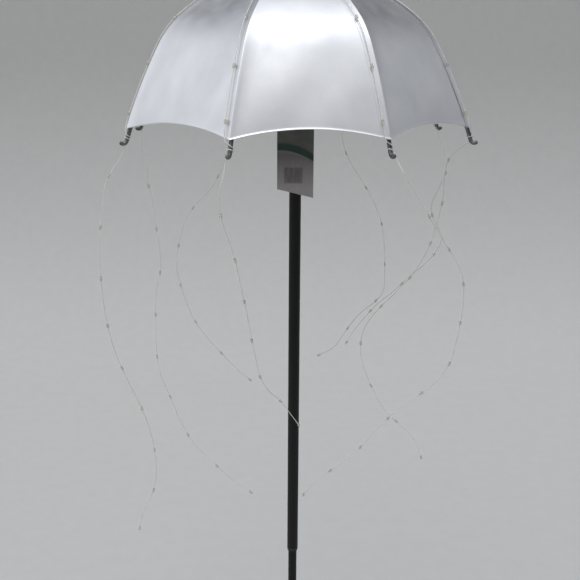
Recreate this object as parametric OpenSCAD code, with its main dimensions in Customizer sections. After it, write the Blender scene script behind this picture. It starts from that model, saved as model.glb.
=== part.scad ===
// Metal umbrella garden stake with a solar cap and eight strings of rain lights.
// Millimetres, +Z up. The origin is on the pole's axis, at the ground line.

/* [Canopy] */
// Radius of the canopy at the rib ends, on the rim
canopy_r = 180; // [170:1:190]
// Height of the rim above the ground
rim_z = 780; // [740:5:860]
// Turn of the first rib from the front
rib_turn = -18; // [-22:1:22]
// Thickness of the sheet metal
sheet_t = 0.8; // [0.6:0.1:1]
// How far the rim arches up between two ribs
rim_arch = 9; // [6:1:12]

/* [Ribs] */
// Diameter of a rib rod
rib_d = 4; // [3.6:0.1:4.2]
// Straight length of a rod below the rim
rib_tail = 11; // [10:1:13]
// Radius of the hook's bend, to the middle of the rod
hook_r = 3.5; // [3.5:0.5:5]
// Turn of the hook
hook_turn = 100; // [90:5:180]

/* [Pole] */
// Outer diameter of the upper pole
pole_d = 12.7; // [12.5:0.1:13]
// Outer diameter of the lower pole
stem_d = 10; // [10:0.1:10]
// Height of the joint between the two poles
joint_z = 272; // [240:2:300]
// How far the lower pole reaches into the upper one
joint_lap = 60; // [50:1:70]
// Depth of the spike's straight part below the ground
spike_l = 150; // [120:5:180]
// Length of the spike's point
point_l = 35; // [25:1:45]
// Length of the step bar
step_l = 90; // [70:2:110]

/* [Solar cap] */
// Outer diameter of the housing
cap_d = 84; // [84:1:88]
// Wall of the housing
cap_wall = 2; // [2:0.1:2.2]
// Side of the square solar cell
cell_w = 52; // [46:1:52]

/* [Rain lights] */
// Diameter of a light string's twisted wire
wire_d = 0.9; // [0.6:0.1:0.9]
// Diameter of a light bead
bead_d = 2.8; // [2.4:0.1:2.8]
// Length of a light bead
bead_l = 5; // [4.5:0.1:5.5]
// Distance from one bead to the next
bead_step = 50; // [40:1:60]

/* [Tag] */
// Width of the tag
tag_w = 38; // [30:1:40]
// Height of the tag
tag_h = 92; // [80:1:95]

/* [Hidden] */
$fn = 48;

steel = [0.80, 0.81, 0.83];
zinc = [0.66, 0.67, 0.69];
black = [0.07, 0.07, 0.08];
clear = [0.85, 0.9, 0.95, 0.5];

// The rib line from the rim to the crown is three arcs that meet in line. Each is given by its
// radius and by the slope, from level, at its lower end.
rim_slope = 70;
shoulder_slope = 61;
crown_slope = 38;
side_r = 3 * canopy_r;
shoulder_r = canopy_r / 2;
crown_r = 1.25 * canopy_r;
function slope_dir(a) = [sin(a), cos(a)];
side_c = [canopy_r, 0] - side_r * slope_dir(rim_slope);
shoulder_c = side_c + (side_r - shoulder_r) * slope_dir(shoulder_slope);
crown_c = shoulder_c + (shoulder_r - crown_r) * slope_dir(crown_slope);
crown_hole_r = 12;
crown_end_slope = asin((crown_hole_r - crown_c.x) / crown_r);

// Point of the rib line where it has slope a, lifted by h off the sheet
function rib_line(a, h = 0) =
    a > shoulder_slope ? side_c + (side_r + h) * slope_dir(a) :
    a > crown_slope ? shoulder_c + (shoulder_r + h) * slope_dir(a) :
    crown_c + (crown_r + h) * slope_dir(a);
function crown_height(r) = crown_c.y + sqrt(pow(crown_r, 2) - pow(r - crown_c.x, 2));

half_gore = 22.5;
gore_steps = concat(
    [for (k = [0:2]) rim_slope - 3 * k],
    [for (k = [0:5]) shoulder_slope - k * (shoulder_slope - crown_slope) / 6],
    [for (k = [0:6]) crown_slope - k * (crown_slope - crown_end_slope) / 6]
);
seam_gap = 0.15;

// Rib rods lie under the seams
rod_drop = sheet_t + rib_d / 2 + 0.6;
rod_start_slope = 9;
tail_dir = [cos(rim_slope), -sin(rim_slope)];
tail_out = slope_dir(rim_slope);
tail_start = [canopy_r, 0] - rod_drop * tail_out;
tail_end = tail_start + rib_tail * tail_dir;
hook_c = tail_end + hook_r * tail_out;
rod_slopes = [rod_start_slope, 15, 21, 27, 33, 38, 43, 48, 53, 58, 61, 64, 67, rim_slope];
rod_line = concat([for (a = rod_slopes) rib_line(a, -rod_drop)], [tail_end]);
hook_steps = 8;
hook_line = [for (k = [1:hook_steps]) hook_c - hook_r * slope_dir(rim_slope - hook_turn * k / hook_steps)];
rod_sides = 12;

// Heights of the crown stack, above the rim
washer_r = 28;
washer_t = 1.5;
washer_z = crown_height(crown_hole_r) + 0.15;
nut_h = 6.5;
nut_z = washer_z + washer_t + 0.6;
stud_r = 4;
stud_top = nut_z + nut_h + 10;
hub_r = 26;
hub_h = 9;
hub_top = crown_height(hub_r) - sheet_t - 0.8;
pole_r = pole_d / 2;
pole_bore_r = 5.55;
stem_r = stem_d / 2;
stem_bore_r = 4.1;
collar_t = 2;
pole_top = hub_top - 1.5;

// Heights of the solar cap, above the rim
floor_z = nut_z + nut_h + 2;
floor_t = 2;
wall_top = floor_z + 16;
gasket_t = 1;
cover_z = wall_top + gasket_t;
cover_t = 6;
cap_r = cap_d / 2;
window_w = cell_w + 4;
window_t = 2;
cell_t = 0.8;
board_z = floor_z + floor_t + 3;
board_w = 36;
board_l = 22;
board_y = 9.5;
board_t = 1.6;
button_z = floor_z + 10;
button_r = 4;
button_stroke = 1.2;
switch_y = board_y + board_l - 7;
battery_y = -19;
battery_r = 5.25;
battery_l = 44.5;
battery_z = floor_z + floor_t + 0.3 + battery_r;
door_w = 58;
door_l = 13;
door_screw_x = 26;
cap_screw_at = [[27, 25], [-27, 25], [14, -34], [-14, -34]];
screw_r = 1.4;
grommet_z = floor_z + 6;
grommet_r = 2.4;

// The tag swings on a ring moulded on its tie. Its own heights are from the ring's middle.
tie_z = 16;
tie_r = 7.6;
tie_h = 3;
ring_r = 4.6;
ring_w = 1.2;
ring_y = -(tie_r + ring_r - 0.8);
tag_t = 0.5;
tag_hole_r = 2;
tag_hole_z = -5.2;
tag_top = -1.5;
tag_slant = 9;
tag_corner = 3;

// Routes of the light strings
wire_lift = 2.5;
wire_side = 6;
wrap_r = rib_d / 2 + wire_d / 2 + 0.35;
wrap_start = 2.5;
wrap_pitch = 2.4;
wrap_ease = 2.5;
wrap_ease_turn = 0.3;
wrap_from = -30;
wrap_turns = [1.78, 1.24, 1.375, 1.7, 1.7, 1.5, 1.78, 1.78];
wrap_steps = 12;
wire_sides = 8;
first_bead = 63;

// Each string's free part, as x, y and depth below the rim
hang_1 = [[-60.8, -179.8, 28], [-64, -182, 42], [-63, -176, 68], [-57, -165, 92], [-52, -155, 116],
    [-48, -142, 145], [-44, -130, 172], [-41, -118, 200], [-37, -108, 226], [-33, -98, 248],
    [-25, -88, 266], [-14, -75, 282], [-4, -62, 302], [6, -50, 322]];
hang_2 = [[92, -172, 26], [102, -168, 42], [114, -158, 60], [128, -145, 82], [142, -130, 102],
    [154, -120, 120], [162, -110, 138], [166, -100, 160], [167, -90, 185], [165, -84, 210],
    [162, -78, 234], [152, -70, 258], [134, -61, 280], [111, -52, 304], [91, -45, 330],
    [70, -38, 360], [48, -30, 384], [28, -22, 405], [12, -16, 428]];
hang_3 = [[166, -50, 18], [158, -38, 28], [154, -30, 40], [154, -24, 60], [154, -18, 82],
    [151, -12, 104], [148, -4, 124], [141, 4, 146], [131, 12, 168], [114, 22, 192],
    [94, 28, 216], [80, 22, 236], [76, 12, 254], [78, 6, 270], [84, 0, 286], [92, -6, 302],
    [103, -12, 320], [121, -18, 336], [136, -25, 350], [145, -32, 370]];
hang_4 = [[162, 74, 20], [165, 64, 32], [170, 56, 46], [168, 52, 62], [161, 50, 78],
    [154, 49, 98], [158, 46, 114], [166, 38, 130], [159, 32, 146], [146, 28, 160],
    [131, 30, 174], [115, 34, 192], [98, 38, 208], [82, 42, 228], [70, 45, 246], [62, 48, 262]];
hang_5 = [[58, 172, 28], [61, 166, 46], [68, 163, 62], [86, 155, 90], [98, 148, 110],
    [107, 140, 132], [111, 130, 158], [112, 118, 190], [110, 108, 216], [98, 100, 228],
    [84, 94, 237], [73, 88, 247], [60, 78, 262], [48, 70, 276], [30, 64, 284]];
hang_6 = [[-82, 158, 30], [-87, 146, 60], [-104, 138, 94], [-122, 130, 112], [-133, 125, 128],
    [-140, 120, 148], [-145, 115, 172], [-146, 112, 190], [-142, 110, 207], [-134, 106, 232],
    [-124, 103, 254], [-110, 100, 274], [-90, 95, 295], [-72, 88, 312], [-54, 80, 324]];
hang_7 = [[-174, 60, 30], [-168, 60, 52], [-168, 60, 72], [-163, 58, 95], [-158, 51, 130],
    [-154, 45, 166], [-160, 40, 200], [-161, 36, 228], [-161, 31, 262], [-157, 25, 292],
    [-146, 20, 318], [-134, 13, 346], [-119, 5, 370], [-96, -5, 390], [-72, -15, 408], [-48, -25, 420]];
hang_8 = [[-168, -82, 28], [-175, -86, 38], [-181, -92, 50], [-184, -100, 76], [-187, -106, 105],
    [-187, -109, 135], [-186, -109, 162], [-184, -105, 190], [-179, -100, 220], [-170, -95, 250],
    [-161, -92, 274], [-152, -90, 302], [-147, -88, 330], [-146, -86, 360], [-149, -86, 380],
    [-156, -86, 397], [-163, -86, 412], [-167, -86, 430]];
hangs = [hang_1, hang_2, hang_3, hang_4, hang_5, hang_6, hang_7, hang_8];

function rib_azimuth(i) = rib_turn + 45 * (i - 1) - 90;

// Point at radius r on rib i's seam and height z, moved s along the gore before that rib
function by_seam(i, r, z, s) =
    let (a = rib_azimuth(i) - half_gore, m = r * cos(half_gore), q = r * sin(half_gore) - s)
    [m * cos(a) - q * sin(a), m * sin(a) + q * cos(a), rim_z + z];

// Point where a string has taken t turns round rod i. It comes and goes steeply, by wrap_ease more.
function wrap_point(i, t) =
    let (
        a = rib_azimuth(i),
        turn = 360 * t + wrap_from,
        come = 1 - pow(max(0, 1 - t / wrap_ease_turn), 2),
        go = pow(max(0, 1 - (wrap_turns[i - 1] - t) / wrap_ease_turn), 2),
        down = wrap_start + wrap_pitch * t + wrap_ease * (come + go),
        p = tail_start + down * tail_dir + wrap_r * cos(turn) * tail_out,
        q = wrap_r * sin(turn)
    )
    [p.x * cos(a) - q * sin(a), p.x * sin(a) + q * cos(a), rim_z + p.y];

exit_line = [[cap_r - 3, 0], [cap_r + 3, 0], [cap_r + 9, -2], [cap_r + 14, -7], [cap_r + 19, -15], [cap_r + 25, -24]];
over_slopes = [25, 29, 33, 37, 42, 48, 54, 60, 63, 66, 69];
function exit_route(i) = [for (k = [0:5]) by_seam(i, exit_line[k].x, grommet_z + exit_line[k].y, k)];
function over_route(i) = [for (a = over_slopes) let (p = rib_line(a, wire_lift)) by_seam(i, p.x, p.y, wire_side)];
function rim_route(i) = [by_seam(i, canopy_r + 1.9, -1.2, wire_side - 1.4)];
function wrap_route(i) =
    let (n = ceil(wrap_steps * wrap_turns[i - 1]))
    [for (k = [0:n]) wrap_point(i, k / n * wrap_turns[i - 1])];
function hang_route(i) = [for (p = hangs[i - 1]) [p.x, p.y, rim_z - p.z]];
function strand_top(i) = concat(exit_route(i), over_route(i), rim_route(i));
function strand_route(i) = concat(strand_top(i), wrap_route(i), hang_route(i));

function unit(v) = v / norm(v);
function heading(p, k) = unit(p[min(k + 1, len(p) - 1)] - p[max(k - 1, 0)]);
function across(u, t) = unit(u - (u * t) * t);
function side_dirs(p) =
    [for (k = 0, u = across([0.3, 0.2, 1], heading(p, 0)); k < len(p); k = k + 1,
        u = k < len(p) ? across(u, heading(p, k)) : u) u];

// A round tube of diameter d and m sides along the points p
module swept_tube(p, d, m) {
    n = len(p);
    dirs = side_dirs(p);
    rings = [
        for (k = [0:n - 1])
            let (u = dirs[k], v = cross(heading(p, k), u))
                for (j = [0:m - 1]) p[k] + d / 2 * (cos(360 * j / m) * u + sin(360 * j / m) * v)
    ];
    walls = [
        for (k = [0:n - 2], j = [0:m - 1])
            let (a = k * m + j, b = k * m + (j + 1) % m)
                each [[a, a + m, b], [b, a + m, b + m]]
    ];
    start_cap = [for (j = [1:m - 2]) [0, j, j + 1]];
    end_cap = [for (j = [1:m - 2]) [(n - 1) * m, (n - 1) * m + j + 1, (n - 1) * m + j]];
    polyhedron(points = rings, faces = concat(walls, start_cap, end_cap));
}

function run_length(p, k = 1, sum = 0) = k >= len(p) ? sum : run_length(p, k + 1, sum + norm(p[k] - p[k - 1]));

// Place and direction at the distance s along the points p
function along(p, s, k = 1) =
    let (l = norm(p[k] - p[k - 1]))
        s <= l || k == len(p) - 1 ? [p[k - 1] + unit(p[k] - p[k - 1]) * s, unit(p[k] - p[k - 1])] : along(p, s - l, k + 1);

module bead(spot) {
    dir = spot[1];
    translate(spot[0]) rotate([0, acos(dir.z), atan2(dir.y, dir.x)]) {
        cylinder(d = bead_d, h = bead_l - bead_d, center = true);
        for (s = [-1, 1]) translate([0, 0, s * (bead_l - bead_d) / 2]) sphere(d = bead_d);
    }
}

module place_rib(i) {
    translate([0, 0, rim_z]) rotate([0, 0, rib_azimuth(i)]) children();
}

// Gore i spans from rib i to rib i + 1
module gore(i) {
    outer = [for (a = gore_steps) rib_line(a)];
    inner = [for (k = [len(gore_steps) - 1:-1:0]) rib_line(gore_steps[k], -sheet_t)];
    outline = [for (p = concat(outer, inner)) [p.x * cos(half_gore), p.y]];
    arch_r = (pow(canopy_r * sin(half_gore), 2) + pow(rim_arch, 2)) / (2 * rim_arch);
    wide = canopy_r * sin(half_gore) - seam_gap;
    long = canopy_r * cos(half_gore);
    color(steel) place_rib(i) rotate([0, 0, half_gore]) difference() {
        intersection() {
            translate([0, canopy_r / 2, 0]) rotate([90, 0, 0]) linear_extrude(canopy_r) polygon(outline);
            translate([0, 0, -1]) linear_extrude(canopy_r)
                polygon([[crown_hole_r / 2, 0.5], [long + 5, wide * (long + 5) / long],
                    [long + 5, -wide * (long + 5) / long], [crown_hole_r / 2, -0.5]]);
        }
        translate([0, 0, rim_arch - arch_r]) rotate([0, 90, 0]) cylinder(r = arch_r, h = 2 * canopy_r, $fn = 180);
    }
}

// The rod of one rib, from the hub down the seam, past the rim and round its hook
module rib(i) {
    color(zinc) place_rib(i) swept_tube([for (p = concat(rod_line, hook_line)) [p.x, 0, p.y]], rib_d, rod_sides);
}

module strand(i) {
    color(zinc) swept_tube(strand_route(i), wire_d, wire_sides);
}

module leds(i) {
    top = strand_top(i);
    low = hang_route(i);
    top_l = run_length(top);
    low_l = run_length(low);
    color(clear) {
        for (s = [first_bead:bead_step:top_l - 12]) bead(along(top, s));
        for (s = [low_l - 0.5:-bead_step:14]) bead(along(low, s));
    }
}

module rib_hub() {
    color(black) translate([0, 0, rim_z + hub_top - hub_h]) difference() {
        cylinder(r = hub_r, h = hub_h);
        translate([0, 0, -1]) cylinder(r = pole_r + 0.05, h = hub_h + 2);
        translate([0, 0, hub_h - 2]) rotate_extrude() translate([hub_r - 8, 0]) square([9, 3]);
    }
}

module crown_washer() {
    edge = crown_height(washer_r) + 0.3;
    color(steel) translate([0, 0, rim_z]) rotate_extrude()
        polygon([[stud_r + 0.3, washer_z], [14, washer_z], [washer_r, edge], [washer_r, edge + washer_t],
            [14, washer_z + washer_t], [stud_r + 0.3, washer_z + washer_t]]);
}

module crown_stud() {
    color(zinc) translate([0, 0, rim_z]) {
        translate([0, 0, pole_top - 20]) cylinder(r = pole_bore_r, h = 20);
        translate([0, 0, pole_top]) cylinder(r = stud_r, h = stud_top - pole_top);
    }
}

module crown_nut() {
    color(zinc) translate([0, 0, rim_z + nut_z - 0.6]) difference() {
        union() {
            cylinder(r = 8.5, h = 0.6);
            translate([0, 0, 0.6]) cylinder(d = 15, h = nut_h, $fn = 6);
        }
        translate([0, 0, -1]) cylinder(r = stud_r + 0.02, h = nut_h + 3);
    }
}

module pole_upper() {
    top = rim_z + pole_top;
    color(black) translate([0, 0, joint_z]) difference() {
        cylinder(r = pole_r, h = top - joint_z);
        translate([0, 0, -1]) cylinder(r = pole_bore_r, h = top - joint_z + 2);
    }
}

module joint_bush() {
    flange_t = 2;
    sleeve_h = 28;
    color(black) translate([0, 0, joint_z - flange_t]) difference() {
        union() {
            cylinder(r = pole_r, h = flange_t - 0.02);
            cylinder(r = pole_bore_r - 0.05, h = flange_t + sleeve_h);
        }
        translate([0, 0, -1]) cylinder(r = stem_r + 0.05, h = flange_t + sleeve_h + 2);
    }
}

module pole_lower() {
    shoulder_h = 3;
    color(black) difference() {
        union() {
            translate([0, 0, collar_t]) cylinder(r = stem_r, h = joint_z + joint_lap - collar_t);
            translate([0, 0, joint_z - 2 - 0.02 - shoulder_h]) rotate_extrude()
                polygon([[stem_r - 0.5, 0], [stem_r, 0], [stem_r + 0.9, 1.2], [stem_r + 0.9, shoulder_h], [stem_r - 0.5, shoulder_h]]);
        }
        translate([0, 0, -1]) cylinder(r = stem_bore_r, h = joint_z + joint_lap + 2);
    }
}

module ground_spike() {
    color(black) {
        translate([0, 0, -spike_l]) cylinder(r = stem_r, h = spike_l);
        translate([0, 0, -spike_l - point_l]) cylinder(r1 = 0.6, r2 = stem_r, h = point_l);
        cylinder(r = stem_r + 0.9, h = collar_t);
        cylinder(r = stem_bore_r, h = 35);
    }
}

module step_bar() {
    bar_t = 5;
    bar_w = 14;
    color(black) translate([0, 0, 4]) difference() {
        union() {
            cylinder(r = stem_r + 4, h = 14);
            translate([-(step_l - bar_w) / 2, -bar_w / 2, 0]) cube([step_l - bar_w, bar_w, bar_t]);
            for (s = [-1, 1]) translate([s * (step_l - bar_w) / 2, 0, 0]) cylinder(d = bar_w, h = bar_t);
        }
        translate([0, 0, -1]) cylinder(r = stem_r + 0.03, h = 16);
        translate([0, 0, 9.5]) rotate([-90, 0, 0]) cylinder(r = 2, h = stem_r + 6);
    }
}

module step_screw() {
    color(zinc) translate([0, stem_r + 0.05, 13.5]) rotate([-90, 0, 0]) difference() {
        cylinder(r = 1.98, h = 4.4);
        translate([0, 0, 2.4]) cylinder(d = 2.3, h = 3, $fn = 6);
    }
}

module cap_screw_posts(r, z, h) {
    for (p = cap_screw_at) translate([p.x, p.y, z]) cylinder(r = r, h = h);
}

module cap_base() {
    skirt_r = 12;
    color(black) translate([0, 0, rim_z]) difference() {
        union() {
            translate([0, 0, floor_z]) difference() {
                cylinder(r = cap_r, h = wall_top - floor_z, $fn = 96);
                translate([0, 0, floor_t]) cylinder(r = cap_r - cap_wall, h = wall_top, $fn = 96);
            }
            translate([0, 0, washer_z + washer_t + 0.1]) cylinder(r = skirt_r, h = floor_z - washer_z - washer_t);
            translate([0, 0, floor_z]) cylinder(r = 8, h = 9);
            cap_screw_posts(3, floor_z, wall_top - floor_z - 0.2);
            for (s = [-1, 1]) translate([s * door_screw_x, battery_y, floor_z]) cylinder(r = 2.3, h = 8);
            for (s = [-1, 1]) translate([s * (board_w / 2 - 4), board_y + board_l / 2, floor_z])
                cylinder(r = 2.5, h = floor_t + 3);
        }
        translate([0, 0, washer_z]) cylinder(r = 9, h = nut_z + nut_h + 0.4 - washer_z);
        translate([0, 0, floor_z - 2]) cylinder(r = 6, h = 12);
        translate([0, 0, washer_z]) cylinder(r = stud_r + 0.5, h = 40);
        translate([-(door_w - 9) / 2, battery_y - door_l / 2, floor_z - 1]) cube([door_w - 9, door_l, floor_t + 2]);
        translate([-door_w / 2 - 0.15, battery_y - door_l / 2 - 0.15, floor_z - 1])
            cube([door_w + 0.3, door_l + 0.3, 2.1]);
        for (s = [-1, 1]) translate([s * door_screw_x, battery_y, floor_z - 1]) cylinder(r = screw_r - 0.2, h = 7);
        cap_screw_posts(screw_r - 0.2, floor_z + 2, wall_top);
        cap_screw_posts(2.6, floor_z - 1, 3);
        translate([0, 0, button_z]) rotate([-90, 0, 0]) cylinder(r = button_r + 0.08, h = cap_r + 5);
        for (i = [1:8]) rotate([0, 0, rib_azimuth(i)]) translate([cap_r - 5, 0, grommet_z]) rotate([0, 90, 0])
            cylinder(r = grommet_r - 0.5, h = 8, $fn = 24);
    }
}

module cap_cover() {
    color(black) translate([0, 0, rim_z + cover_z]) difference() {
        union() {
            cylinder(r = cap_r + 1, h = cover_t - 2, $fn = 96);
            translate([0, 0, cover_t - 2]) cylinder(r1 = cap_r + 1, r2 = cap_r - 1, h = 2, $fn = 96);
        }
        translate([-window_w / 2 - 0.1, -window_w / 2 - 0.1, cover_t - window_t - 1.2])
            cube([window_w + 0.2, window_w + 0.2, 10]);
        translate([-3, -3, -1]) cube([6, 6, 5]);
        cap_screw_posts(screw_r - 0.2, -1, 3.5);
        translate([0, 0, -1]) difference() {
            cylinder(r = cap_r - cap_wall - 1.2, h = 2.6);
            cap_screw_posts(3, -1, 5);
        }
    }
}

module cap_gasket() {
    color(black) translate([0, 0, rim_z + wall_top]) difference() {
        cylinder(r = cap_r - 0.2, h = gasket_t, $fn = 96);
        translate([0, 0, -1]) cylinder(r = cap_r - cap_wall + 0.2, h = gasket_t + 2, $fn = 96);
    }
}

module solar_cell() {
    color([0.05, 0.08, 0.2]) translate([-cell_w / 2, -cell_w / 2, rim_z + cover_z + cover_t - window_t - 0.1 - cell_t])
        cube([cell_w, cell_w, cell_t]);
}

module cell_window() {
    color(clear) translate([-window_w / 2, -window_w / 2, rim_z + cover_z + cover_t - window_t])
        cube([window_w, window_w, window_t]);
}

module circuit_board() {
    color([0.05, 0.3, 0.15]) translate([-board_w / 2, board_y, rim_z + board_z]) cube([board_w, board_l, board_t]);
}

module tact_switch() {
    color(zinc) translate([0, switch_y, rim_z + board_z + board_t]) {
        translate([-3, 0, 0]) cube([6, 3.5, 6.5]);
        translate([0, 3.5, button_z - board_z - board_t]) rotate([-90, 0, 0]) cylinder(r = 1.7, h = 1.5);
    }
}

module power_button() {
    flange_r = button_r + 1.2;
    flange_t = 1.6;
    flange_y = sqrt(pow(cap_r - cap_wall, 2) - pow(flange_r, 2)) - flange_t - 0.06;
    stem_y = switch_y + 5 + button_stroke + 0.2;
    color([0.5, 0.05, 0.05]) translate([0, 0, rim_z + button_z]) rotate([-90, 0, 0]) {
        translate([0, 0, flange_y]) cylinder(r = flange_r, h = flange_t);
        translate([0, 0, flange_y]) cylinder(r = button_r, h = cap_r + 2 - flange_y);
        translate([0, 0, stem_y]) cylinder(r = 1.8, h = flange_y - stem_y + 0.5);
    }
}

module battery_cell() {
    color([0.1, 0.35, 0.2]) translate([-battery_l / 2, battery_y, rim_z + battery_z]) rotate([0, 90, 0]) {
        cylinder(r = battery_r, h = battery_l - 0.8);
        translate([0, 0, battery_l - 0.8]) cylinder(r = 1.9, h = 0.8);
    }
}

module battery_contacts() {
    color(zinc) for (s = [-1, 1])
        translate([s * (battery_l / 2 + 0.4) - 0.25, battery_y - 4, rim_z + floor_z + floor_t]) cube([0.5, 8, 9]);
}

module battery_door() {
    color(black) translate([-door_w / 2, battery_y - door_l / 2, rim_z + floor_z]) difference() {
        cube([door_w, door_l, 1]);
        for (s = [-1, 1]) translate([door_w / 2 + s * door_screw_x, door_l / 2, -1]) cylinder(r = screw_r + 0.1, h = 4);
    }
}

// A pan-head screw whose head hangs below z = 0 and whose shank goes up by l
module small_screw(l, head_r) {
    difference() {
        union() {
            translate([0, 0, -1.2]) cylinder(r = head_r, h = 1.2);
            cylinder(r = screw_r - 0.2, h = l);
        }
        for (a = [0, 90]) rotate([0, 0, a]) translate([-head_r * 0.6, -0.35, -2]) cube([head_r * 1.2, 0.7, 1.5]);
    }
}

module door_screws() {
    color(zinc) for (s = [-1, 1]) translate([s * door_screw_x, battery_y, rim_z + floor_z]) small_screw(5.5, 2.4);
}

module cap_screws() {
    color(zinc) for (p = cap_screw_at) translate([p.x, p.y, rim_z + floor_z + 2]) small_screw(17, 2.4);
}

module stud_insert() {
    color([0.8, 0.65, 0.3]) translate([0, 0, rim_z + floor_z - 1.5]) difference() {
        cylinder(r = 6, h = 10);
        translate([0, 0, -1]) cylinder(r = stud_r + 0.02, h = 12);
    }
}

module strand_grommets() {
    color(black) translate([0, 0, rim_z]) for (i = [1:8])
        rotate([0, 0, rib_azimuth(i)]) translate([cap_r - 4, 0, grommet_z]) rotate([0, 90, 0]) difference() {
            union() {
                cylinder(r = grommet_r - 0.5, h = 6.5, $fn = 24);
                translate([0, 0, 4.5]) cylinder(r1 = grommet_r, r2 = 1.4, h = 2.6, $fn = 24);
            }
            translate([0, 0, -1]) cylinder(d = wire_d + 0.1, h = 12, $fn = 16);
        }
}

module tag_tie() {
    color(clear) translate([0, 0, rim_z + tie_z]) {
        difference() {
            cylinder(r = tie_r, h = tie_h, center = true);
            cylinder(r = pole_r + 0.08, h = 2 * tie_h, center = true);
        }
        translate([0, ring_y, 0]) rotate([0, 90, 0]) difference() {
            cylinder(r = ring_r, h = ring_w, center = true);
            cylinder(r = ring_r - ring_w, h = 2 * ring_w, center = true);
        }
    }
}

module tag_card() {
    side = tag_w / 2;
    color([0.3, 0.33, 0.3]) translate([0, ring_y + tag_t / 2, rim_z + tie_z + tag_top]) rotate([90, 0, 0])
        linear_extrude(tag_t) difference() {
            polygon([[-side + tag_corner, 0], [-side, -tag_corner], [-side, tag_slant - tag_h], [side, -tag_h],
                [side, -tag_corner], [side - tag_corner, 0]]);
            translate([0, tag_hole_z - tag_top]) circle(r = tag_hole_r, $fn = 24);
        }
}

gore(1);  // gore_1
gore(2);  // gore_2
gore(3);  // gore_3
gore(4);  // gore_4
gore(5);  // gore_5
gore(6);  // gore_6
gore(7);  // gore_7
gore(8);  // gore_8
rib(1);  // rib_1
rib(2);  // rib_2
rib(3);  // rib_3
rib(4);  // rib_4
rib(5);  // rib_5
rib(6);  // rib_6
rib(7);  // rib_7
rib(8);  // rib_8
strand(1);  // strand_1
strand(2);  // strand_2
strand(3);  // strand_3
strand(4);  // strand_4
strand(5);  // strand_5
strand(6);  // strand_6
strand(7);  // strand_7
strand(8);  // strand_8
leds(1);  // leds_1
leds(2);  // leds_2
leds(3);  // leds_3
leds(4);  // leds_4
leds(5);  // leds_5
leds(6);  // leds_6
leds(7);  // leds_7
leds(8);  // leds_8
rib_hub();
crown_washer();
crown_stud();
crown_nut();
pole_upper();
joint_bush();
pole_lower();
ground_spike();
step_bar();
step_screw();
cap_base();
cap_cover();
cap_gasket();
solar_cell();
cell_window();
circuit_board();
tact_switch();
power_button();
battery_cell();
battery_contacts();
battery_door();
door_screws();
cap_screws();
stud_insert();
strand_grommets();
tag_tie();
tag_card();
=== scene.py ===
import math

import bpy
import numpy as np
from mathutils import Matrix, Vector


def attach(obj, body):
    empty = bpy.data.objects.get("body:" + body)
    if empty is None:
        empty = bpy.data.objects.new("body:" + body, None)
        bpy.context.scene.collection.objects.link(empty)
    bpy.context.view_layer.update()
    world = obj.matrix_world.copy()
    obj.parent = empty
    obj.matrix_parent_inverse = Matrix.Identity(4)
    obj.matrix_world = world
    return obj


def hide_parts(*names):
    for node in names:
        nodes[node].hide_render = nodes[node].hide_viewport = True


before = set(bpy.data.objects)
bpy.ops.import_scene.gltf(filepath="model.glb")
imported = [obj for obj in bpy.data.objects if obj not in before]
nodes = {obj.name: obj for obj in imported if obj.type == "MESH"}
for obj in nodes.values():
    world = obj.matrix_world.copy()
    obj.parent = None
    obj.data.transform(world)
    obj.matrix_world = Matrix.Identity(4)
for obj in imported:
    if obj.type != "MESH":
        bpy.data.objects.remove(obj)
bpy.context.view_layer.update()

mm = 0.001

canopy = {
    "ribs": 8,
    "radius": 0.180,          # over the rib ends, on the rim
    "rimHeight": 0.780,
    "firstRib": -18.0,        # degrees from the front
    "rimSlope": 70.0,         # slopes of the rib line, from level
    "shoulderSlope": 61.0,
    "crownSlope": 38.0,
    "crownHole": 0.012,
    "rimArch": 0.009,
    "sheet": 0.0008,
}
halfGore = math.radians(180 / canopy["ribs"])
ribNumbers = range(1, canopy["ribs"] + 1)


def slopeDir(a):
    # outward direction, as radius and height, where a line slopes by a from level: (sin a, cos a)
    a = np.radians(a)
    return np.stack([np.sin(a), np.cos(a)], -1)


sideR = 3 * canopy["radius"]
shoulderR = canopy["radius"] / 2
crownR = 1.25 * canopy["radius"]
sideC = np.array([canopy["radius"], 0.0]) - sideR * slopeDir(canopy["rimSlope"])
shoulderC = sideC + (sideR - shoulderR) * slopeDir(canopy["shoulderSlope"])
crownC = shoulderC + (shoulderR - crownR) * slopeDir(canopy["crownSlope"])


def ribLine(a, lift=0.0):
    # radius and height where three arcs that meet in line have slope a, moved out by lift:
    # the arc's centre + (the arc's radius + lift) * (sin a, cos a)
    a = np.asarray(a, float)
    d = slopeDir(a)
    lift = np.broadcast_to(np.asarray(lift, float), a.shape)[..., None]
    side = sideC + (sideR + lift) * d
    shoulder = shoulderC + (shoulderR + lift) * d
    crown = crownC + (crownR + lift) * d
    out = np.where((a > canopy["shoulderSlope"])[..., None], side, shoulder)
    return np.where((a > canopy["crownSlope"])[..., None], out, crown)


def ribAzimuth(i):
    # the front is at -90 degrees, and each rib is one gore on from the last
    return math.radians(canopy["firstRib"] + 360 / canopy["ribs"] * (i - 1) - 90)


def turned(p, angle):
    # p turned about the pole by angle, and lifted from the rim to its height above the ground
    c, s = math.cos(angle), math.sin(angle)
    x, y, z = p[..., 0], p[..., 1], p[..., 2]
    return np.stack([x * c - y * s, x * s + y * c, z + canopy["rimHeight"]], -1)


def bySeam(i, r, z, side):
    # point at radius r on rib i's seam and height z, moved by side along the gore before that rib
    p = np.stack([r * math.cos(halfGore) + 0 * side, r * math.sin(halfGore) - side, z + 0 * side], -1)
    return turned(p, ribAzimuth(i) - halfGore)


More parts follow.
